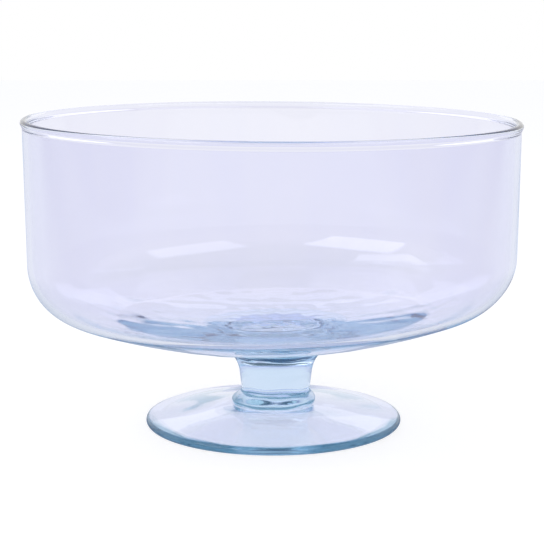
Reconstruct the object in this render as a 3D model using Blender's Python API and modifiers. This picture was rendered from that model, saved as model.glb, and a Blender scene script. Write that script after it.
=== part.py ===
"""Footed glass fruit bowl, built from the gathers of glass it is fused from.

Units are metres and +Z is up. The origin is on the axis, at the plane that the
foot rests on. Every piece is turned about that axis, and the pieces are stacked
from the foot upwards with a thin clearance at each fused joint.
"""

import math

import bpy

# Clearance at each fused joint
JOINT_CLEARANCE = 0.0003

# Foot: a shallow hollow cone with a round edge, standing on a flat ring
FOOT_DIAMETER = 0.126
FOOT_EDGE_THICKNESS = 0.0037
FOOT_SEAT_HEIGHT = 0.0097
FOOT_SEAT_MARGIN = 0.0002
FOOT_RING_WIDTH = 0.005
FOOT_HOLLOW_DEPTH = 0.0060

# Collar: a cushion of glass between the foot and the stem
COLLAR_DIAMETER = 0.0414
COLLAR_THICKNESS = 0.0062
COLLAR_WIDEST_HEIGHT = 0.0016
COLLAR_TURN_IN = 0.0014
COLLAR_SHOULDER = 0.0002

# Stem: a slightly tapered column whose top flares out
STEM_BASE_DIAMETER = 0.0338
STEM_TAPER = math.radians(6.8)
STEM_HEIGHT = 0.0181
STEM_FLARE_HEIGHT = 0.0076
STEM_FLARE_REACH = 0.0036

# Wafer: the flared disc of glass that joins the stem to the bowl
WAFER_THICKNESS = 0.0042
WAFER_LIP = 0.00015
WAFER_SPREAD = 0.0085

# Bowl: a deep round bowl with a beaded rim and a thick floor with a wide shallow dish
RIM_DIAMETER = 0.240
RIM_BEAD_PROUD = 0.00095
BOWL_HEIGHT = 0.1106
WALL_THICKNESS = 0.0026
WALL_DRAFT = math.radians(0.6)
KNUCKLE_RADIUS = 0.0269
BOTTOM_RADIUS = 0.282
FLOOR_DIAMETER = 0.154
FLOOR_THICKNESS = 0.0135
DISH_DEPTH = 0.0045

# Finish: clear fire-polished glass, bluer where a piece is thick
FOOT_COLOUR = (0.75, 0.85, 0.93)
COLLAR_COLOUR = (0.65, 0.80, 0.90)
STEM_COLOUR = (0.68, 0.81, 0.93)
WAFER_COLOUR = (0.60, 0.77, 0.88)
BOWL_COLOUR = (0.87, 0.88, 0.96)
GLASS_ROUGHNESS = 0.03
GLASS_IOR = 1.52

# Smoothness: steps round the axis, and segments along each stretch of a profile
TURN_STEPS = 64
BEAD_SEGMENTS = 4
KNUCKLE_SEGMENTS = 7
BOTTOM_SEGMENTS = 5
DISH_SEGMENTS = 6
WAFER_SEGMENTS = 5
FLARE_SEGMENTS = 7
COLUMN_SEGMENTS = 3
SWELL_SEGMENTS = 7
TURN_IN_SEGMENTS = 4
SLOPE_SEGMENTS = 5
EDGE_SEGMENTS = 8
HOLLOW_SEGMENTS = 6
MERGE_DISTANCE = 0.00001

# Heights worked out from the sizes above, from the table upwards
COLLAR_BASE = FOOT_SEAT_HEIGHT + JOINT_CLEARANCE
COLLAR_TOP = COLLAR_BASE + COLLAR_THICKNESS
STEM_BASE = COLLAR_TOP + JOINT_CLEARANCE
STEM_TOP = STEM_BASE + STEM_HEIGHT
WAFER_BASE = STEM_TOP + JOINT_CLEARANCE
BOWL_BASE = WAFER_BASE + WAFER_THICKNESS + JOINT_CLEARANCE
BOWL_TOP = BOWL_BASE + BOWL_HEIGHT
BOTTOM_CENTRE = (0.0, BOWL_BASE + BOTTOM_RADIUS)


def shares(segments):
    """Even steps from 0 to 1, both ends included."""
    return [index / segments for index in range(segments + 1)]


def arc(centre, radius, start, end, segments):
    """Points on a circle in the profile plane, from angle start to angle end."""
    points = []
    for share in shares(segments):
        angle = start + (end - start) * share
        points.append((centre[0] + radius * math.cos(angle), centre[1] + radius * math.sin(angle)))
    return points


def foot_profile():
    """Foot from its seat, down its sloping top, round its edge and in underneath."""
    edge_radius = FOOT_EDGE_THICKNESS / 2
    edge_centre = (FOOT_DIAMETER / 2 - edge_radius, edge_radius)
    seat_radius = COLLAR_DIAMETER / 2 - COLLAR_TURN_IN + FOOT_SEAT_MARGIN
    fall = FOOT_SEAT_HEIGHT - FOOT_EDGE_THICKNESS
    slope = []
    for share in shares(SLOPE_SEGMENTS)[:-1]:
        radius = seat_radius + (edge_centre[0] - seat_radius) * share
        slope.append((radius, FOOT_SEAT_HEIGHT - fall * share))
    edge = arc(edge_centre, edge_radius, math.pi / 2, -math.pi / 2, EDGE_SEGMENTS)
    ring_radius = edge_centre[0] - FOOT_RING_WIDTH
    hollow = []
    for share in shares(HOLLOW_SEGMENTS):
        rise = FOOT_HOLLOW_DEPTH * math.sin(share * math.pi / 2)
        hollow.append((ring_radius * (1 - share), rise))
    return [(0.0, FOOT_SEAT_HEIGHT)] + slope + edge + hollow


def collar_profile():
    """Collar: swells out from the stem to its widest line, then turns in to the foot."""
    widest_radius = COLLAR_DIAMETER / 2
    widest_height = COLLAR_BASE + COLLAR_WIDEST_HEIGHT
    top_radius = STEM_BASE_DIAMETER / 2 + COLLAR_SHOULDER
    side = []
    for share in shares(SWELL_SEGMENTS):
        swell = (widest_radius - top_radius) * (1 - math.cos(math.pi * share)) / 2
        side.append((top_radius + swell, COLLAR_TOP + (widest_height - COLLAR_TOP) * share))
    for share in shares(TURN_IN_SEGMENTS)[1:]:
        angle = share * math.pi / 2
        radius = widest_radius - COLLAR_TURN_IN * (1 - math.cos(angle))
        side.append((radius, widest_height - COLLAR_WIDEST_HEIGHT * math.sin(angle)))
    return [(0.0, COLLAR_TOP)] + side + [(0.0, COLLAR_BASE)]


def stem_column(height):
    """Radius of the stem's tapered column, before the flare is added."""
    return STEM_BASE_DIAMETER / 2 + math.tan(STEM_TAPER) * (height - STEM_BASE)


def stem_profile():
    """Stem from the axis out to its flared top, down its side and back in."""
    side = []
    for share in shares(FLARE_SEGMENTS):
        height = STEM_TOP - STEM_FLARE_HEIGHT * share
        side.append((stem_column(height) + STEM_FLARE_REACH * (1 - share) ** 2, height))
    flare_base = STEM_TOP - STEM_FLARE_HEIGHT
    for share in shares(COLUMN_SEGMENTS)[1:]:
        height = flare_base + (STEM_BASE - flare_base) * share
        side.append((stem_column(height), height))
    return [(0.0, STEM_TOP)] + side + [(0.0, STEM_BASE)]


def bowl_underside(radius):
    """Height of the bowl's round bottom, outside, at a distance from the axis."""
    return BOTTOM_CENTRE[1] - math.sqrt(BOTTOM_RADIUS**2 - radius**2)


def wafer_profile():
    """Wafer from the axis out under the bowl, in along its flared side and back."""
    lower_radius = stem_column(STEM_TOP) + STEM_FLARE_REACH + WAFER_LIP
    upper_radius = lower_radius + WAFER_SPREAD
    top = []
    for share in shares(WAFER_SEGMENTS):
        radius = upper_radius * share
        top.append((radius, bowl_underside(radius) - JOINT_CLEARANCE))
    return top + [(lower_radius, WAFER_BASE), (0.0, WAFER_BASE)]


def knuckle_centre():
    """Centre of the arc that is tangent to the outer wall and to the round bottom."""
    down = (-math.sin(WALL_DRAFT), -math.cos(WALL_DRAFT))
    inward = (-math.cos(WALL_DRAFT), math.sin(WALL_DRAFT))
    start_x = RIM_DIAMETER / 2 - RIM_BEAD_PROUD + inward[0] * KNUCKLE_RADIUS
    start_z = BOWL_TOP + inward[1] * KNUCKLE_RADIUS - BOTTOM_CENTRE[1]
    reach = BOTTOM_RADIUS - KNUCKLE_RADIUS
    along = start_x * down[0] + start_z * down[1]
    excess = start_x**2 + start_z**2 - reach**2
    travel = math.sqrt(along**2 - excess) - along
    return start_x + down[0] * travel, BOTTOM_CENTRE[1] + start_z + down[1] * travel


def knuckle(inset):
    """Round turn from the wall to the bottom, set in from the outside of the bowl."""
    centre = knuckle_centre()
    end = math.atan2(centre[1] - BOTTOM_CENTRE[1], centre[0])
    return arc(centre, KNUCKLE_RADIUS - inset, -WALL_DRAFT, end, KNUCKLE_SEGMENTS)


def bottom(edge):
    """Round bottom of the bowl, outside, from the end of the knuckle to the axis."""
    start = math.atan2(edge[1] - BOTTOM_CENTRE[1], edge[0])
    return arc(BOTTOM_CENTRE, BOTTOM_RADIUS, start, -math.pi / 2, BOTTOM_SEGMENTS)


def floor(edge):
    """Floor of the bowl, inside: a wide shallow dish, then a straight rise to the knuckle."""
    rim_radius = FLOOR_DIAMETER / 2
    rim_height = BOWL_BASE + FLOOR_THICKNESS
    points = []
    for share in shares(DISH_SEGMENTS):
        points.append((rim_radius * share, rim_height - DISH_DEPTH * (1 - share**2)))
    return points + [edge]


def rim_bead():
    """Rounded rim, from the inside of the wall over the top to the outside."""
    radius = (WALL_THICKNESS + RIM_BEAD_PROUD) / 2
    centre = (RIM_DIAMETER / 2 - radius, BOWL_TOP - radius)
    outer_end = -math.acos((radius - RIM_BEAD_PROUD) / radius)
    inner = arc(centre, radius, math.pi, math.pi / 2, BEAD_SEGMENTS)
    outer = arc(centre, radius, math.pi / 2, 0.0, BEAD_SEGMENTS)
    under = arc(centre, radius, 0.0, outer_end, BEAD_SEGMENTS // 2)
    return inner + outer[1:] + under[1:]


def bowl_profile():
    """Bowl from the middle of its floor, up inside, over the rim and down outside."""
    inside = knuckle(WALL_THICKNESS)
    outside = knuckle(0.0)
    inner = floor(inside[-1])[:-1] + inside[::-1]
    outer = outside + bottom(outside[-1])[1:]
    return inner + rim_bead() + outer


def glass(name, colour):
    """Smooth clear glass of the given tint."""
    material = bpy.data.materials.new(name)
    material.use_nodes = True
    shader = material.node_tree.nodes["Principled BSDF"]
    shader.inputs["Base Color"].default_value = (*colour, 1.0)
    shader.inputs["Roughness"].default_value = GLASS_ROUGHNESS
    shader.inputs["Metallic"].default_value = 0.0
    shader.inputs["IOR"].default_value = GLASS_IOR
    shader.inputs["Transmission Weight"].default_value = 1.0
    return material


def turned(name, profile, colour, collection):
    """One piece of glass: its profile turned a full circle about +Z."""
    mesh = bpy.data.meshes.new(name)
    vertices = [(radius, 0.0, height) for radius, height in profile]
    edges = [(index, index + 1) for index in range(len(vertices) - 1)]
    mesh.from_pydata(vertices, edges, [])
    mesh.materials.append(glass(name + "_glass", colour))
    piece = bpy.data.objects.new(name, mesh)
    collection.objects.link(piece)
    screw = piece.modifiers.new("Turn", "SCREW")
    screw.axis = "Z"
    screw.angle = math.tau
    screw.steps = TURN_STEPS
    screw.render_steps = TURN_STEPS
    screw.use_merge_vertices = True
    screw.merge_threshold = MERGE_DISTANCE
    screw.use_smooth_shade = True


def main():
    for old in list(bpy.data.objects):
        bpy.data.objects.remove(old, do_unlink=True)
    collection = bpy.data.collections.new("glass_fruit_bowl")
    bpy.context.scene.collection.children.link(collection)
    turned("foot", foot_profile(), FOOT_COLOUR, collection)
    turned("stem_collar", collar_profile(), COLLAR_COLOUR, collection)
    turned("stem", stem_profile(), STEM_COLOUR, collection)
    turned("bowl_wafer", wafer_profile(), WAFER_COLOUR, collection)
    turned("bowl", bowl_profile(), BOWL_COLOUR, collection)


main()
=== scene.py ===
# %% [markdown]
# # A footed glass fruit bowl, step by step
#
# The real bowl is clear glass that was worked hot. Five gathers of glass were
# fused into one: a deep bowl, a wafer under it, a short stem, a collar and a foot.
# This lesson makes each of them finely enough for light to bend through it as it
# does through the real one, and then lights them softly on a white table.
#
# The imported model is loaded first. It is the fixed frame: it says how big every
# piece is and where it stands, and nothing here moves or resizes it.

# %% Load the frame
import math
import random

import bmesh
import bpy
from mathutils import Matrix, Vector


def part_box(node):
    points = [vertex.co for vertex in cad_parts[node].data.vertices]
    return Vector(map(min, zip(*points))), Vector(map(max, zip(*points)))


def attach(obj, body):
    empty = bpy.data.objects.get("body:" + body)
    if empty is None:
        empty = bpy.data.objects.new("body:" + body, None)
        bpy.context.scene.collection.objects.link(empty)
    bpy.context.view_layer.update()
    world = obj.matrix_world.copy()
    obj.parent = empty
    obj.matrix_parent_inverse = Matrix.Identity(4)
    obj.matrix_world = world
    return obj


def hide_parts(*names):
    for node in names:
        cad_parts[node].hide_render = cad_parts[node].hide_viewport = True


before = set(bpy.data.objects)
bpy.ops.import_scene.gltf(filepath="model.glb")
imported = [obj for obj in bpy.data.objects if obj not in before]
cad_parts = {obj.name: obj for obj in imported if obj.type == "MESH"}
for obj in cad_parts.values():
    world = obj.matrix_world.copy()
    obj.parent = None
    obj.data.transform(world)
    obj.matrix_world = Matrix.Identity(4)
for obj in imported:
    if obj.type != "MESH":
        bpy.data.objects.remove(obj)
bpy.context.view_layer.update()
scene = bpy.context.scene
print("pieces in the frame:", sorted(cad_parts))

# %% [markdown]
# ## The camera
#
# The picture looks slightly down on the bowl from table height, with a long lens.
# The rim's ellipse gives the angle, and the way the foot's ellipse is rounder than
# the rim's gives the distance. The field of view follows from the picture's width.

# %% Camera
CAMERA_DISTANCE = 0.7725
CAMERA_HEIGHT = 0.2115
CAMERA_TILT = math.radians(10.03)
SENSOR_WIDTH = 36.0
PICTURE_WIDTH_PX = 544.0
FOCAL_LENGTH_PX = 1603.2

camera = bpy.data.objects.new("camera", bpy.data.cameras.new("camera"))
camera.data.sensor_width = SENSOR_WIDTH
camera.data.lens = SENSOR_WIDTH * FOCAL_LENGTH_PX / PICTURE_WIDTH_PX
camera.data.clip_start = 0.01
camera.location = (0.0, -CAMERA_DISTANCE, CAMERA_HEIGHT)
camera.rotation_euler = (math.pi / 2 - CAMERA_TILT, 0.0, 0.0)
scene.collection.objects.link(camera)
scene.camera = camera
print("lens in mm:", round(camera.data.lens, 1))

# %% [markdown]
# ## A lathe for hot glass
#
# Every piece was turned while it was soft, so each one is a profile that is spun
# about the upright axis. A profile is a list of (radius, height) points. Straight
# stretches, arcs and a few formulas are enough to draw all of them. Many small
# steps matter more here than on an opaque thing, because glass shows every facet
# twice: once in its outline and once in what is bent through it.

# %% Lines, arcs and the lathe
TURN_STEPS = 256
MERGE_DISTANCE = 1e-6


def shares(steps):
    """Even shares from 0 to 1, both ends included."""
    return [index / steps for index in range(steps + 1)]


def line(start, end, steps):
    """Points on a straight stretch of a profile."""
    return [
        (start[0] + (end[0] - start[0]) * share, start[1] + (end[1] - start[1]) * share)
        for share in shares(steps)
    ]


def arc(centre, radius, start, end, steps):
    """Points on a round stretch of a profile, from angle start to angle end."""
    angles = [start + (end - start) * share for share in shares(steps)]
    return [
        (centre[0] + radius * math.cos(angle), centre[1] + radius * math.sin(angle))
        for angle in angles
    ]


def spun(profile):
    """A closed mesh: the profile, from axis to axis, spun a full turn."""
    mesh = bmesh.new()
    points = [mesh.verts.new((radius, 0.0, height)) for radius, height in profile]
    strokes = [mesh.edges.new(pair) for pair in zip(points, points[1:])]
    bmesh.ops.spin(
        mesh,
        geom=points + strokes,
        axis=(0.0, 0.0, 1.0),
        cent=(0.0, 0.0, 0.0),
        angle=math.tau,
        steps=TURN_STEPS,
        use_merge=True,
    )
    bmesh.ops.remove_doubles(mesh, verts=mesh.verts, dist=MERGE_DISTANCE)
    bmesh.ops.recalc_face_normals(mesh, faces=mesh.faces)
    return mesh


def stack(node):
    """Widest radius, lowest height and highest height of a piece of the frame."""
    low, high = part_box(node)
    return high.x, low.z, high.z


print("steps in a full turn:", TURN_STEPS)

# %% [markdown]
# ## How the pieces are fused
#
# Where two gathers meet, the real glass is one continuous body: light crosses the
# joint without bending. Two separate meshes with air between them would mirror
# light there instead. So each piece reaches to its neighbour, all but a hair, and
# the faces of the joint are marked. The marked faces are see-through in the finish,
# which lets light pass from piece to piece as if the glass were whole.

# %% Fused joints
FUSE_GAP = 0.00002
FUSED_MARK = "glass_face"


def mark_fused(mesh, is_joint):
    """Writes 0 on the faces of a fused joint and 1 on every other face."""
    layer = mesh.faces.layers.float.new(FUSED_MARK)
    count = 0
    for face in mesh.faces:
        centre = face.calc_center_median()
        joint = is_joint(math.hypot(centre.x, centre.y), centre.z, face.normal.z)
        face[layer] = 0.0 if joint else 1.0
        count += joint
    return count


print("gap left in a joint, in mm:", round(1000 * FUSE_GAP, 3))

# %% [markdown]
# ## The maker's hand
#
# Nothing worked by hand is quite round or quite straight. The stem stands a little
# to one side of the bowl, the bowl's bottom hangs lower on the left, and its rim dips
# to the right. On top of that every surface has low waves from the tools. They are
# too small to measure by eye, but they are what makes reflections in blown glass
# waver. The waves are sums of sines with seeded headings, so they come out the same
# each time, and they are calm where two pieces are fused or where the foot rests.

# %% Waves, lean and sag
LEAN_STEM = 0.0018
LEAN_FOOT = 0.0007
LEAN_FADE = 0.028
SAG_SLOPE = 0.019
SAG_START = 0.006
SAG_HOLD = 0.02
SAG_END = 0.09
RIM_SLOPE = 0.0075
RIM_START = 0.04

RIM_RADIUS, BOWL_BASE, BOWL_TOP = stack("bowl")
FOOT_RADIUS, _, FOOT_SEAT = stack("foot")
COLLAR_RADIUS, COLLAR_BASE, COLLAR_TOP = stack("stem_collar")
_, STEM_BASE, STEM_TOP = stack("stem")


def eased(value, low, high):
    """A smooth step from 0 at low to 1 at high."""
    share = min(max((value - low) / (high - low), 0.0), 1.0)
    return share * share * (3.0 - 2.0 * share)


def settled(place):
    """How far the glass at a place stands from where a true lathe would leave it."""
    lean = LEAN_FOOT + (LEAN_STEM - LEAN_FOOT) * eased(place.z, FOOT_SEAT, STEM_BASE)
    lean *= 1.0 - eased(place.z, STEM_TOP, STEM_TOP + LEAN_FADE)
    low = eased(place.z, STEM_TOP, BOWL_BASE + SAG_START)
    low *= 1.0 - eased(place.z, BOWL_BASE + SAG_HOLD, BOWL_BASE + SAG_END)
    high = eased(place.z, BOWL_BASE + RIM_START, BOWL_TOP)
    return Vector((lean, 0.0, place.x * (SAG_SLOPE * low - RIM_SLOPE * high)))


def ripples(seed, amplitude, shortest, longest, drawn=1.0, count=9):
    """A smooth height over space, made of a few seeded sine waves with all headings."""
    draw = random.Random(seed)
    parts = []
    for _ in range(count):
        heading = Vector([draw.gauss(0.0, 1.0) for _ in range(3)]).normalized()
        heading *= math.tau / draw.uniform(shortest, longest)
        heading.z /= drawn
        parts.append((heading, draw.uniform(0.0, math.tau)))
    level = amplitude * math.sqrt(2.0 / count)
    return lambda place: level * sum(math.sin(heading.dot(place) + phase) for heading, phase in parts)


def worked(mesh, wave):
    """Moves every point along its normal by a wave, and by how the glass settled there."""
    mesh.normal_update()
    moves = [point.normal * wave(point.co, point.normal) + settled(point.co) for point in mesh.verts]
    for point, move in zip(mesh.verts, moves):
        point.co += move
    mesh.normal_update()


print("stem off the axis, in mm:", round(1000 * LEAN_STEM, 1))

# %% [markdown]
# ## From mesh to piece
#
# A worked mesh becomes an object that stands for one piece of the frame. Its shading
# is smooth, except at true corners such as the edge of a joint. Every piece rides on
# the one body that the bowl has, and takes the glass it is given.

# %% Finished pieces
SHARP_ANGLE = math.radians(50)


def finished(name, mesh, material):
    """Turns a worked mesh into a piece that stands for its node of the frame."""
    data = bpy.data.meshes.new(name)
    mesh.to_mesh(data)
    mesh.free()
    data.shade_smooth()
    data.set_sharp_from_angle(angle=SHARP_ANGLE)
    data.materials.append(material)
    piece = bpy.data.objects.new("clear_" + name, data)
    scene.collection.objects.link(piece)
    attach(piece, "root")
    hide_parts(name)
    print(piece.name, len(data.polygons), "faces")
    return piece


print("corners stay sharp past degrees:", round(math.degrees(SHARP_ANGLE)))

# %% [markdown]
# ## The glass itself
#
# Thin glass looks faintly lavender here, and thick glass blue-green: the iron in
# it takes out red light along the way. The first is a pale base colour, and the
# second a volume that absorbs a little of each colour per metre. A node group that
# all the finishes share adds what keeps glass from looking like a formula: faint
# streaks in the tint, a film of haze and dust, and fine cords in the surface.

# %% Streaks, haze and cords
DRAWN_OUT = (1.0, 1.0, 0.22)
STREAK_SCALE = 34.0
STREAK_RANGE = (0.35, 0.7)
FILM_SCALE = 55.0
FILM_RANGE = (0.45, 0.75)
CORD_SCALE = 90.0


def linked(tree, output, target):
    """Joins an output to an input in a node tree."""
    tree.links.new(output, target)


def noise(tree, place, scale, detail):
    """A noise texture read at a place."""
    node = tree.nodes.new("ShaderNodeTexNoise")
    node.inputs["Scale"].default_value = scale
    node.inputs["Detail"].default_value = detail
    linked(tree, place, node.inputs["Vector"])
    return node.outputs["Fac"]


def remapped(tree, value, low, high, to_low, to_high):
    """A value moved from one range to another, held at both ends."""
    node = tree.nodes.new("ShaderNodeMapRange")
    linked(tree, value, node.inputs["Value"])
    node.inputs["From Min"].default_value = low
    node.inputs["From Max"].default_value = high
    for socket, end in (("To Min", to_low), ("To Max", to_high)):
        if isinstance(end, bpy.types.NodeSocket):
            linked(tree, end, node.inputs[socket])
        else:
            node.inputs[socket].default_value = end
    return node.outputs["Result"]


def blown_glass_group():
    """Shared surface of blown glass: streaked tint, haze and the height of fine cords."""
    tree = bpy.data.node_groups.new("blown_glass", "ShaderNodeTree")
    add = tree.interface.new_socket
    add("Tint", in_out="INPUT", socket_type="NodeSocketColor")
    add("Streak", in_out="INPUT", socket_type="NodeSocketColor")
    add("Haze", in_out="INPUT", socket_type="NodeSocketFloat")
    add("Colour", in_out="OUTPUT", socket_type="NodeSocketColor")
    add("Roughness", in_out="OUTPUT", socket_type="NodeSocketFloat")
    add("Height", in_out="OUTPUT", socket_type="NodeSocketFloat")
    given = tree.nodes.new("NodeGroupInput")
    result = tree.nodes.new("NodeGroupOutput")
    place = tree.nodes.new("ShaderNodeTexCoord").outputs["Object"]

    drawn = tree.nodes.new("ShaderNodeMapping")
    drawn.inputs["Scale"].default_value = DRAWN_OUT
    linked(tree, place, drawn.inputs["Vector"])
    streaks = noise(tree, drawn.outputs["Vector"], STREAK_SCALE, detail=3.0)
    colour = tree.nodes.new("ShaderNodeMix")
    colour.data_type = "RGBA"
    linked(tree, remapped(tree, streaks, *STREAK_RANGE, 0.0, 1.0), colour.inputs["Factor"])
    linked(tree, given.outputs["Tint"], colour.inputs["A"])
    linked(tree, given.outputs["Streak"], colour.inputs["B"])
    linked(tree, colour.outputs["Result"], result.inputs["Colour"])

    film = noise(tree, place, FILM_SCALE, detail=4.0)
    haze = remapped(tree, film, *FILM_RANGE, 0.0, given.outputs["Haze"])
    linked(tree, haze, result.inputs["Roughness"])
    cords = noise(tree, drawn.outputs["Vector"], CORD_SCALE, detail=1.0)
    linked(tree, cords, result.inputs["Height"])
    return tree


blown_glass = blown_glass_group()
print("shared finish:", blown_glass.name)

# %% [markdown]
# ## Three glasses
#
# The bowl is almost without colour, the wafer, stem and collar are a pale blue, and
# the foot is the darkest along its edge. All three are the same clear glass with their
# own tint and their own loss of light per metre. The marks on the fused faces go to
# Alpha, so that those faces aren't seen at all.

# %% Glass finishes
GLASS_IOR = 1.52
CORD_STRENGTH = 0.012
CORD_DEPTH = 0.0002


def glass(name, tint, streak, haze, absorbed):
    """Clear glass: bends light, tints it at each face and absorbs it along its way."""
    material = bpy.data.materials.new(name)
    material.use_nodes = True
    tree = material.node_tree
    shader = tree.nodes["Principled BSDF"]
    shader.inputs["IOR"].default_value = GLASS_IOR
    shader.inputs["Transmission Weight"].default_value = 1.0
    surface = tree.nodes.new("ShaderNodeGroup")
    surface.node_tree = blown_glass
    surface.inputs["Tint"].default_value = (*tint, 1.0)
    surface.inputs["Streak"].default_value = (*streak, 1.0)
    surface.inputs["Haze"].default_value = haze
    linked(tree, surface.outputs["Colour"], shader.inputs["Base Color"])
    linked(tree, surface.outputs["Roughness"], shader.inputs["Roughness"])
    cords = tree.nodes.new("ShaderNodeBump")
    cords.inputs["Strength"].default_value = CORD_STRENGTH
    cords.inputs["Distance"].default_value = CORD_DEPTH
    linked(tree, surface.outputs["Height"], cords.inputs["Height"])
    linked(tree, cords.outputs["Normal"], shader.inputs["Normal"])
    fused = tree.nodes.new("ShaderNodeAttribute")
    fused.attribute_name = FUSED_MARK
    linked(tree, fused.outputs["Fac"], shader.inputs["Alpha"])
    depth = tree.nodes.new("ShaderNodeVolumeAbsorption")
    most = max(absorbed)
    depth.inputs["Density"].default_value = most
    depth.inputs["Color"].default_value = (*[1.0 - part / most for part in absorbed], 1.0)
    linked(tree, depth.outputs["Volume"], tree.nodes["Material Output"].inputs["Volume"])
    print("finish:", name)
    return material


bowl_glass = glass(
    "bowl_glass",
    tint=(0.917, 0.906, 0.987),
    streak=(0.900, 0.891, 0.987),
    haze=0.015,
    absorbed=(11.0, 5.0, 2.6),
)
stem_glass = glass(
    "stem_glass",
    tint=(0.745, 0.83, 0.985),
    streak=(0.725, 0.815, 0.98),
    haze=0.01,
    absorbed=(4.0, 1.6, 0.8),
)
foot_glass = glass(
    "foot_glass",
    tint=(0.765, 0.785, 0.949),
    streak=(0.745, 0.77, 0.944),
    haze=0.015,
    absorbed=(14.0, 7.4, 5.6),
)

# %% [markdown]
# ## The bowl
#
# A near-upright wall comes down from a fire-polished bead and turns through a round
# knuckle into a shallow round bottom. The floor inside is a wide shallow dish, and
# from its edge the glass rises straight to the knuckle. Where the floor lies flatter
# than the bottom under it, light is turned back inside the glass, and the floor looks
# dark there. The underside of the bead is eased into the wall, because an abrupt one
# draws a dark line along the back of the rim.

# %% Bowl
WALL_THICKNESS = 0.0026
WALL_DRAFT = math.radians(0.6)
BEAD_PROUD = 0.00095
BEAD_EASE = 0.0028
KNUCKLE_RADIUS = 0.0269
BOTTOM_RADIUS = 0.282
FLOOR_RADIUS = 0.077
FLOOR_THICKNESS = 0.0135
DISH_DEPTH = 0.0045
WAFER_RADIUS = 0.036
FLOOR_STEPS = 64
WALL_STEPS = 24
BEAD_STEPS = 20
LIP_STEPS = 14
KNUCKLE_STEPS = 26
BOTTOM_STEPS = 40
SEAT_STEPS = 14

BOTTOM_CENTRE = (0.0, BOWL_BASE + BOTTOM_RADIUS)


def bowl_underside(radius):
    """Height of the bowl's round bottom, outside, at a distance from the axis."""
    return BOTTOM_CENTRE[1] - math.sqrt(BOTTOM_RADIUS**2 - radius**2)


def knuckle_centre():
    """Centre of the arc that is tangent to the outer wall and to the round bottom."""
    down = (-math.sin(WALL_DRAFT), -math.cos(WALL_DRAFT))
    start_x = RIM_RADIUS - BEAD_PROUD - math.cos(WALL_DRAFT) * KNUCKLE_RADIUS
    start_z = BOWL_TOP + math.sin(WALL_DRAFT) * KNUCKLE_RADIUS - BOTTOM_CENTRE[1]
    along = start_x * down[0] + start_z * down[1]
    excess = start_x**2 + start_z**2 - (BOTTOM_RADIUS - KNUCKLE_RADIUS) ** 2
    travel = math.sqrt(along**2 - excess) - along
    return start_x + down[0] * travel, BOTTOM_CENTRE[1] + start_z + down[1] * travel


KNUCKLE_CENTRE = knuckle_centre()
KNUCKLE_END = math.atan2(KNUCKLE_CENTRE[1] - BOTTOM_CENTRE[1], KNUCKLE_CENTRE[0])


def knuckle(inset):
    """The round turn from wall to bottom, set in from the outside of the bowl."""
    return arc(KNUCKLE_CENTRE, KNUCKLE_RADIUS - inset, -WALL_DRAFT, KNUCKLE_END, KNUCKLE_STEPS)


def floor_height(radius, edge):
    """Height of the floor inside: a wide shallow dish, then a straight rise to the knuckle."""
    rim_height = BOWL_BASE + FLOOR_THICKNESS
    if radius < FLOOR_RADIUS:
        return rim_height - DISH_DEPTH * (1.0 - (radius / FLOOR_RADIUS) ** 2)
    return rim_height + (edge[1] - rim_height) * (radius - FLOOR_RADIUS) / (edge[0] - FLOOR_RADIUS)


def rim_bead():
    """Rounded rim: from the inside over the top, then eased back to the wall outside."""
    radius = (WALL_THICKNESS + BEAD_PROUD) / 2
    centre = (RIM_RADIUS - radius, BOWL_TOP - radius)
    lip = []
    for share in shares(LIP_STEPS)[1:]:
        inward = BEAD_PROUD * (1.0 - math.cos(math.pi * share)) / 2
        lip.append((RIM_RADIUS - inward, centre[1] - BEAD_EASE * share))
    return arc(centre, radius, math.pi, 0.0, BEAD_STEPS) + lip


def underside(start, end, steps):
    """Points on the bowl's round bottom from one distance from the axis to another."""
    return [(radius, bowl_underside(radius)) for radius, _ in line((start, 0.0), (end, 0.0), steps)]


def bowl_profile():
    """Bowl from the middle of its floor, up inside, over the rim and down outside."""
    inside = knuckle(WALL_THICKNESS)[::-1]
    outside = knuckle(0.0)
    bead = rim_bead()
    edge = inside[0]
    floor = [(radius, floor_height(radius, edge)) for radius, _ in line((0.0, 0.0), edge, FLOOR_STEPS)]
    inner_wall = line(inside[-1], bead[0], WALL_STEPS)
    outer_wall = line(bead[-1], outside[0], WALL_STEPS)
    bottom = underside(outside[-1][0], WAFER_RADIUS, BOTTOM_STEPS)
    seat = underside(WAFER_RADIUS, 0.0, SEAT_STEPS)
    inner = floor[:-1] + inside[:-1] + inner_wall[:-1]
    outer = outer_wall[1:-1] + outside[:-1] + bottom[:-1] + seat
    return inner + bead + outer


print("points in the bowl's profile:", len(bowl_profile()))

# %% [markdown]
# ## Wafer, stem and collar
#
# Under the bowl sits a wafer of glass, then a waisted stem whose top flares out to
# meet it, then a soft round collar that was pressed onto the foot. These three are
# solid, so they work as strong lenses and look bluer than the thin wall.

# %% Wafer, stem and collar
STEM_BASE_RADIUS = 0.0169
STEM_TAPER = math.radians(6.8)
FLARE_BASE = 0.0258
COLLAR_SHOULDER = 0.0002
COLLAR_WIDEST_HEIGHT = 0.0016
COLLAR_TURN_IN = 0.0014
JOINT_STEPS = 10
WAFER_STEPS = 18
FLARE_STEPS = 30
STEM_STEPS = 36
SWELL_STEPS = 18
TURN_IN_STEPS = 12

FLARE_TOP = bowl_underside(WAFER_RADIUS)


def column_radius(height):
    """Radius of the stem's tapered column, before it flares."""
    return STEM_BASE_RADIUS + math.tan(STEM_TAPER) * (height - STEM_BASE)


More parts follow.
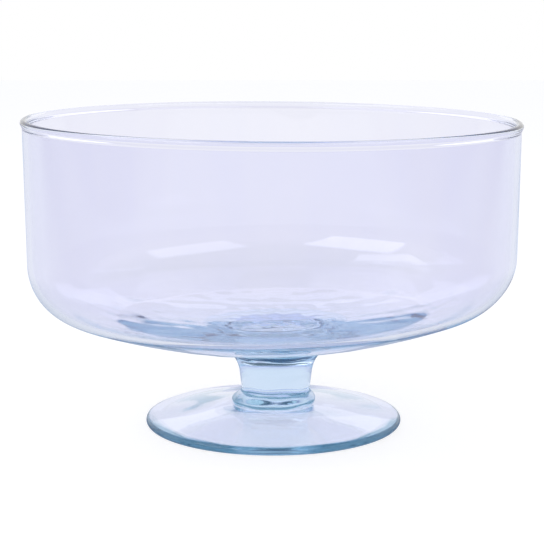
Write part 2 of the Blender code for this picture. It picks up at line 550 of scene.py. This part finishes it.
def flared_side(height):
    """Radius of stem and wafer: a column, then a curve that runs into the bowl's bottom."""
    if height <= FLARE_BASE:
        return column_radius(height)
    bend = (column_radius(BOWL_BASE), BOWL_BASE)
    curve = FLARE_BASE - 2.0 * bend[1] + FLARE_TOP
    climb = 2.0 * (bend[1] - FLARE_BASE)
    share = (math.sqrt(climb**2 + 4.0 * curve * (height - FLARE_BASE)) - climb) / (2.0 * curve)
    rest = 1.0 - share
    return rest**2 * column_radius(FLARE_BASE) + 2.0 * share * rest * bend[0] + share**2 * WAFER_RADIUS


def wafer_profile():
    """Wafer from the axis out under the bowl, down its flared side and back in."""
    base = STEM_TOP + FUSE_GAP
    top = [(radius, height - FUSE_GAP) for radius, height in underside(0.0, WAFER_RADIUS, WAFER_STEPS)]
    heights = [height for _, height in line((0.0, FLARE_TOP - FUSE_GAP), (0.0, base), FLARE_STEPS)[1:]]
    side = [(flared_side(height), height) for height in heights]
    return top + side + line(side[-1], (0.0, base), JOINT_STEPS)[1:]


def stem_profile():
    """Stem from the axis out to its flared top, down its side and back in."""
    base = COLLAR_TOP + FUSE_GAP
    heights = [height for _, height in line((0.0, STEM_TOP), (0.0, base), STEM_STEPS)]
    side = [(flared_side(height), height) for height in heights]
    top = line((0.0, STEM_TOP), side[0], JOINT_STEPS)[:-1]
    return top + side + line(side[-1], (0.0, base), JOINT_STEPS)[1:]


def collar_profile():
    """Collar: swells out from the stem to its widest line, then turns in to the foot."""
    base = FOOT_SEAT + FUSE_GAP
    widest_height = COLLAR_BASE + COLLAR_WIDEST_HEIGHT
    top_radius = STEM_BASE_RADIUS + COLLAR_SHOULDER
    side = []
    for share in shares(SWELL_STEPS):
        swell = (COLLAR_RADIUS - top_radius) * (1 - math.cos(math.pi * share)) / 2
        side.append((top_radius + swell, COLLAR_TOP + (widest_height - COLLAR_TOP) * share))
    for share in shares(TURN_IN_STEPS)[1:]:
        angle = share * math.pi / 2
        radius = COLLAR_RADIUS - COLLAR_TURN_IN * (1 - math.cos(angle))
        side.append((radius, widest_height - (widest_height - base) * math.sin(angle)))
    top = line((0.0, COLLAR_TOP), side[0], JOINT_STEPS)[:-1]
    return top + side + line(side[-1], (0.0, base), JOINT_STEPS)[1:]


print("points in the wafer, stem and collar:", len(wafer_profile() + stem_profile() + collar_profile()))

# %% [markdown]
# ## The foot
#
# The foot is a shallow hollow cone. Its two faces run almost side by side, so the
# table shows through it clearly, and only its round edge, seen along the glass,
# is blue.

# %% Foot
FOOT_EDGE_THICKNESS = 0.0037
FOOT_RING_WIDTH = 0.005
FOOT_HOLLOW_DEPTH = 0.0060
SLOPE_STEPS = 24
EDGE_STEPS = 20
HOLLOW_STEPS = 30


def foot_profile():
    """Foot from its seat, down its sloping top, round its edge and in underneath."""
    edge_radius = FOOT_EDGE_THICKNESS / 2
    edge_centre = (FOOT_RADIUS - edge_radius, edge_radius)
    seat_radius = COLLAR_RADIUS - COLLAR_TURN_IN
    seat = line((0.0, FOOT_SEAT), (seat_radius, FOOT_SEAT), JOINT_STEPS)
    slope = line(seat[-1], (edge_centre[0], FOOT_EDGE_THICKNESS), SLOPE_STEPS)[1:-1]
    edge = arc(edge_centre, edge_radius, math.pi / 2, -math.pi / 2, EDGE_STEPS)
    ring_radius = edge_centre[0] - FOOT_RING_WIDTH
    hollow = [
        (ring_radius * (1 - share), FOOT_HOLLOW_DEPTH * math.sin(share * math.pi / 2))
        for share in shares(HOLLOW_STEPS)
    ]
    return seat + slope + edge + hollow


print("points in the foot's profile:", len(foot_profile()))

# %% [markdown]
# ## The waves of each piece
#
# The waves of the wall bend it as one sheet, with both faces moving together, because
# a wave in its thickness would draw dark bands. The floor has shorter waves, and its
# middle, over the stem, the shortest. The solid pieces have waves on their sides only,
# and the foot has long low ones that end where it rests and where the collar sits.

# %% Waves for each piece
FLAT = 0.95
STEEP = 0.8
FLOOR_CALM = (0.065, 0.10)
MIDDLE_CALM = (0.024, 0.042)
WAFER_CLEAR = 0.012
REST_CALM = (0.0005, 0.003)
SEAT_CALM = (COLLAR_RADIUS - 0.002, COLLAR_RADIUS + 0.006)

wall_waves = ripples(seed=3, amplitude=0.00008, shortest=0.04, longest=0.11)
floor_waves = ripples(seed=4, amplitude=0.00006, shortest=0.009, longest=0.020)
middle_waves = ripples(seed=9, amplitude=0.00014, shortest=0.006, longest=0.012)
foot_ripples = ripples(seed=8, amplitude=0.00004, shortest=0.018, longest=0.05)


def bowl_waves(place, normal):
    """Long waves that bend the wall as a sheet, short ones on the floor, none at the wafer."""
    radius = math.hypot(place.x, place.y)
    outward = (place - Vector((0.0, 0.0, BOWL_TOP))).normalized()
    sheet = wall_waves(place) * outward.dot(normal)
    short = floor_waves(place) * (1.0 - eased(radius, *FLOOR_CALM))
    if normal.z > 0.0:
        short += middle_waves(place) * (1.0 - eased(radius, *MIDDLE_CALM))
    clear = eased(radius, WAFER_RADIUS, WAFER_RADIUS + WAFER_CLEAR) if normal.z < -FLAT else 1.0
    return clear * (sheet + short)


def side_waves(seed, amplitude, shortest, longest, drawn=1.0):
    """Waves on the side of a solid piece that fade out towards its fused ends."""
    side = ripples(seed, amplitude, shortest, longest, drawn)
    return lambda place, normal: side(place) * (1.0 - eased(abs(normal.z), STEEP, FLAT))


def foot_waves(place, normal):
    """Low waves on the foot, none on its seat and none where it rests."""
    radius = math.hypot(place.x, place.y)
    return foot_ripples(place) * eased(place.z, *REST_CALM) * eased(radius, *SEAT_CALM)


print("bowl's waves fade at the wafer over, in mm:", round(1000 * WAFER_CLEAR, 1))

# %% [markdown]
# ## Blown, worked and set down
#
# Now the five profiles are spun, worked and finished. Each call also says which faces
# belong to a fused joint: the ones that face up or down, within the reach of the joint.

# %% Blow, work and set down the five pieces
def make_piece(node, profile, is_joint, wave, material):
    """Spins a profile, marks its joints, works it and finishes it."""
    mesh = spun(profile)
    joints = mark_fused(mesh, is_joint)
    worked(mesh, wave)
    print(node, "faces in joints:", joints)
    return finished(node, mesh, material)


make_piece(
    "bowl",
    bowl_profile(),
    lambda radius, height, up: up < -FLAT and radius < WAFER_RADIUS,
    bowl_waves,
    bowl_glass,
)
make_piece(
    "bowl_wafer",
    wafer_profile(),
    lambda radius, height, up: up > FLAT or height < STEM_TOP + 2 * FUSE_GAP,
    side_waves(seed=5, amplitude=0.00008, shortest=0.006, longest=0.02),
    stem_glass,
)
make_piece(
    "stem",
    stem_profile(),
    lambda radius, height, up: up > FLAT or height < COLLAR_TOP + 2 * FUSE_GAP,
    side_waves(seed=6, amplitude=0.00012, shortest=0.012, longest=0.03, drawn=2.0),
    stem_glass,
)
make_piece(
    "stem_collar",
    collar_profile(),
    lambda radius, height, up: abs(up) > FLAT and radius < COLLAR_RADIUS - COLLAR_TURN_IN
    and (up < 0 or radius < STEM_BASE_RADIUS + COLLAR_SHOULDER),
    side_waves(seed=11, amplitude=0.00012, shortest=0.006, longest=0.014),
    stem_glass,
)
make_piece(
    "foot",
    foot_profile(),
    lambda radius, height, up: up > FLAT and radius < COLLAR_RADIUS - COLLAR_TURN_IN,
    foot_waves,
    foot_glass,
)

# %% [markdown]
# ## A white table
#
# The bowl stands on a plain white table in front of a white wall. The camera sees the
# table as white with the bowl's own soft shadow. Through the glass it is white in front
# of the bowl and behind it. Far out to both sides it has a painted shade, dimmer as if
# unlit, which keeps the sides of the bowl from fading into the background. Mirrored in
# the glass it is painted darker, as a shaded copy. It is darkest close to the bowl, where
# a shadow of the bowl is painted into it. These brightnesses were found by trying them
# against the picture.

# %% Table
WHITE = (1.0, 1.0, 1.0)
TABLE_REACH = 3.0
TABLE_DROP = 0.0002
TABLE_WHITE = (0.93, 0.93, 0.94)
TABLE_GRAIN = (0.95, 0.95, 0.96)
GRAIN_SCALE = 40.0
TABLE_ROUGHNESS = 0.7
TABLE_GLOW = 0.50
CAMERA_GLOW = 0.6
LIT_REACH = 0.25
LIT_FADE = 0.30
# Painted shade: the table is painted dimmer far out to the sides, as if unlit, and darker mirrored in
# the glass.
SEEN_UNLIT = (0.74, 0.71, 0.84)
MIRRORED_LIT = (0.74, 0.75, 0.88)
# Painted shadow of the bowl: this colour makes the mirrored table darker close to the bowl.
MIRRORED_PAINTED_SHADOW = (0.38, 0.44, 0.58)
PAINTED_SHADOW_REACH = 0.20
PAINTED_SHADOW_FADE = 0.25
MIRRORED_UNLIT = (0.52, 0.50, 0.63)
SQUARE = [(-1, -1), (1, -1), (1, 1), (-1, 1)]


def reckoned(tree, operation, *terms):
    """A sum, product or the like of numbers and outputs."""
    node = tree.nodes.new("ShaderNodeMath")
    node.operation = operation
    for socket, term in zip(node.inputs, terms):
        if isinstance(term, bpy.types.NodeSocket):
            linked(tree, term, socket)
        else:
            socket.default_value = term
    return node.outputs["Value"]


def blended(tree, factor, first, second):
    """A colour between two colours or outputs."""
    node = tree.nodes.new("ShaderNodeMix")
    node.data_type = "RGBA"
    linked(tree, factor, node.inputs["Factor"])
    for socket, colour in (("A", first), ("B", second)):
        if isinstance(colour, bpy.types.NodeSocket):
            linked(tree, colour, node.inputs[socket])
        else:
            node.inputs[socket].default_value = (*colour, 1.0)
    return node.outputs["Result"]


def table_finish():
    """White table: soft shadow for the camera; painted shade and a painted shadow of the bowl in the
    glass.
    """
    material = bpy.data.materials.new("white_table")
    material.use_nodes = True
    tree = material.node_tree
    place = tree.nodes.new("ShaderNodeTexCoord").outputs["Object"]
    matt = tree.nodes["Principled BSDF"]
    matt.inputs["Roughness"].default_value = TABLE_ROUGHNESS
    matt.inputs["Emission Color"].default_value = (*WHITE, 1.0)
    matt.inputs["Emission Strength"].default_value = TABLE_GLOW
    grain = noise(tree, place, GRAIN_SCALE, detail=3.0)
    linked(tree, blended(tree, grain, TABLE_WHITE, TABLE_GRAIN), matt.inputs["Base Color"])
    path = tree.nodes.new("ShaderNodeLightPath").outputs
    split = tree.nodes.new("ShaderNodeSeparateXYZ")
    linked(tree, place, split.inputs["Vector"])
    aside = reckoned(tree, "ABSOLUTE", split.outputs["X"])
    along = reckoned(tree, "ABSOLUTE", split.outputs["Y"])
    spread = reckoned(tree, "SUBTRACT", aside, along)
    lit = remapped(tree, spread, LIT_REACH, LIT_REACH + LIT_FADE, 1.0, 0.0)
    distance = tree.nodes.new("ShaderNodeVectorMath")
    distance.operation = "LENGTH"
    linked(tree, place, distance.inputs["Vector"])
    # Painted shadow: the mirrored table darkens within this reach of the bowl.
    painted_shadow = remapped(tree, distance.outputs["Value"], PAINTED_SHADOW_REACH, PAINTED_SHADOW_REACH + PAINTED_SHADOW_FADE, 1.0, 0.0)
    mirrored = blended(tree, painted_shadow, blended(tree, lit, MIRRORED_UNLIT, MIRRORED_LIT), MIRRORED_PAINTED_SHADOW)
    glow = tree.nodes.new("ShaderNodeEmission")
    through = blended(tree, lit, SEEN_UNLIT, WHITE)
    in_glass = blended(tree, path["Is Transmission Ray"], mirrored, through)
    linked(tree, blended(tree, path["Is Camera Ray"], in_glass, WHITE), glow.inputs["Color"])
    from_glass = reckoned(tree, "MAXIMUM", path["Is Transmission Ray"], path["Is Glossy Ray"])
    from_camera = reckoned(tree, "MULTIPLY", path["Is Camera Ray"], CAMERA_GLOW)
    both = tree.nodes.new("ShaderNodeMixShader")
    linked(tree, reckoned(tree, "MAXIMUM", from_glass, from_camera), both.inputs["Fac"])
    linked(tree, matt.outputs["BSDF"], both.inputs[1])
    linked(tree, glow.outputs["Emission"], both.inputs[2])
    linked(tree, both.outputs["Shader"], tree.nodes["Material Output"].inputs["Surface"])
    return material


corners = [(TABLE_REACH * x, TABLE_REACH * y, -TABLE_DROP) for x, y in SQUARE]
table = bpy.data.objects.new("white_table", bpy.data.meshes.new("white_table"))
table.data.from_pydata(corners, [], [(0, 1, 2, 3)])
table.data.materials.append(table_finish())
scene.collection.objects.link(table)
print("table reaches", TABLE_REACH, "m to each side")

# %% [markdown]
# ## The room
#
# Clear glass has little look of its own: it shows the room. Here the room is a world
# that is white low down behind the bowl, greyer at the sides and dim behind the
# camera. Its ceiling is dark, and thick glass shows that as the dark arc under the
# bowl, the lines in the collar and the blue edge of the foot.

# %% Room
ROOM_FRONT = (0.55, 0.54, 0.62)
ROOM_SIDE = (0.70, 0.69, 0.77)
ROOM_BACK = (0.84, 0.83, 0.92)
ROOM_TOP = (0.09, 0.15, 0.18)
FRONT_TO_SIDE = (-0.6, 0.0)
SIDE_TO_BACK = (0.0, 0.6)
WALL_TO_CEILING = (0.60, 0.88)
WHITE_ACROSS = (-0.25, 0.15)
WHITE_UP = (0.08, 0.3)

room = bpy.data.worlds.new("studio_room")
room.use_nodes = True
scene.world = room
tree = room.node_tree
split = tree.nodes.new("ShaderNodeSeparateXYZ")
linked(tree, tree.nodes.new("ShaderNodeTexCoord").outputs["Generated"], split.inputs["Vector"])
backward = split.outputs["Y"]
upward = split.outputs["Z"]
front_half = blended(tree, remapped(tree, backward, *FRONT_TO_SIDE, 0.0, 1.0), ROOM_FRONT, ROOM_SIDE)
around = blended(tree, remapped(tree, backward, *SIDE_TO_BACK, 0.0, 1.0), front_half, ROOM_BACK)
above = blended(tree, remapped(tree, upward, *WALL_TO_CEILING, 0.0, 1.0), around, ROOM_TOP)
aside = reckoned(tree, "ABSOLUTE", split.outputs["X"])
behind = remapped(tree, reckoned(tree, "SUBTRACT", aside, backward), *WHITE_ACROSS, 1.0, 0.0)
low = remapped(tree, upward, *WHITE_UP, 1.0, 0.0)
wall = reckoned(tree, "MULTIPLY", behind, low)
path = tree.nodes.new("ShaderNodeLightPath").outputs
seen = reckoned(tree, "MAXIMUM", wall, path["Is Camera Ray"])
linked(tree, blended(tree, seen, above, WHITE), tree.nodes["Background"].inputs["Color"])
print("room: white behind, dim in front, dark above")

# %% [markdown]
# ## Soft lights
#
# Two broad soft lights hang to the left and right in front. They show as the two pale
# slanting patches at the back of the bowl, where its round knuckle mirrors them. A
# third one, high at the left, gives the broad pale patch under the right one. A weak
# panel behind the bowl adds a soft sheen to its floor and foot.


# %% Soft lights
def soft_light(name, place, target, width, height, brightness):
    """A broad even light. Brightness is what a mirror would show, with 1 as white."""
    data = bpy.data.lights.new(name, "AREA")
    data.shape = "RECTANGLE"
    data.size = width
    data.size_y = height
    data.energy = brightness * math.pi * width * height
    lamp = bpy.data.objects.new(name, data)
    scene.collection.objects.link(lamp)
    lamp.location = place
    lamp.rotation_euler = (Vector(target) - Vector(place)).to_track_quat("-Z", "Y").to_euler()
    print(name, "watts:", round(data.energy, 2))


BOWL_MIDDLE = (0.0, 0.05, 0.08)
soft_light("left_softbox", (-0.82, -0.49, 1.0), BOWL_MIDDLE, width=1.05, height=0.68, brightness=1.8)
soft_light("right_softbox", (0.69, -0.46, 1.13), BOWL_MIDDLE, width=1.05, height=0.55, brightness=1.25)
soft_light("high_softbox", (-0.62, 0.42, 1.20), BOWL_MIDDLE, width=0.70, height=0.50, brightness=1.4)
soft_light("back_panel", (0.0, 1.3, 0.56), BOWL_MIDDLE, width=0.9, height=0.25, brightness=0.45)

# %% [markdown]
# ## Rendering glass
#
# Light has to cross many faces before it leaves the bowl, so paths may be long.
# Colours are shown as they are, with no film look on top.

# %% Light paths and view
LONGEST_PATH = 128
scene.cycles.max_bounces = LONGEST_PATH
scene.cycles.transmission_bounces = LONGEST_PATH
scene.cycles.transparent_max_bounces = LONGEST_PATH
scene.cycles.glossy_bounces = LONGEST_PATH
scene.cycles.caustics_reflective = True
scene.cycles.caustics_refractive = True
scene.view_settings.view_transform = "Standard"
print("most faces that light may cross:", LONGEST_PATH)
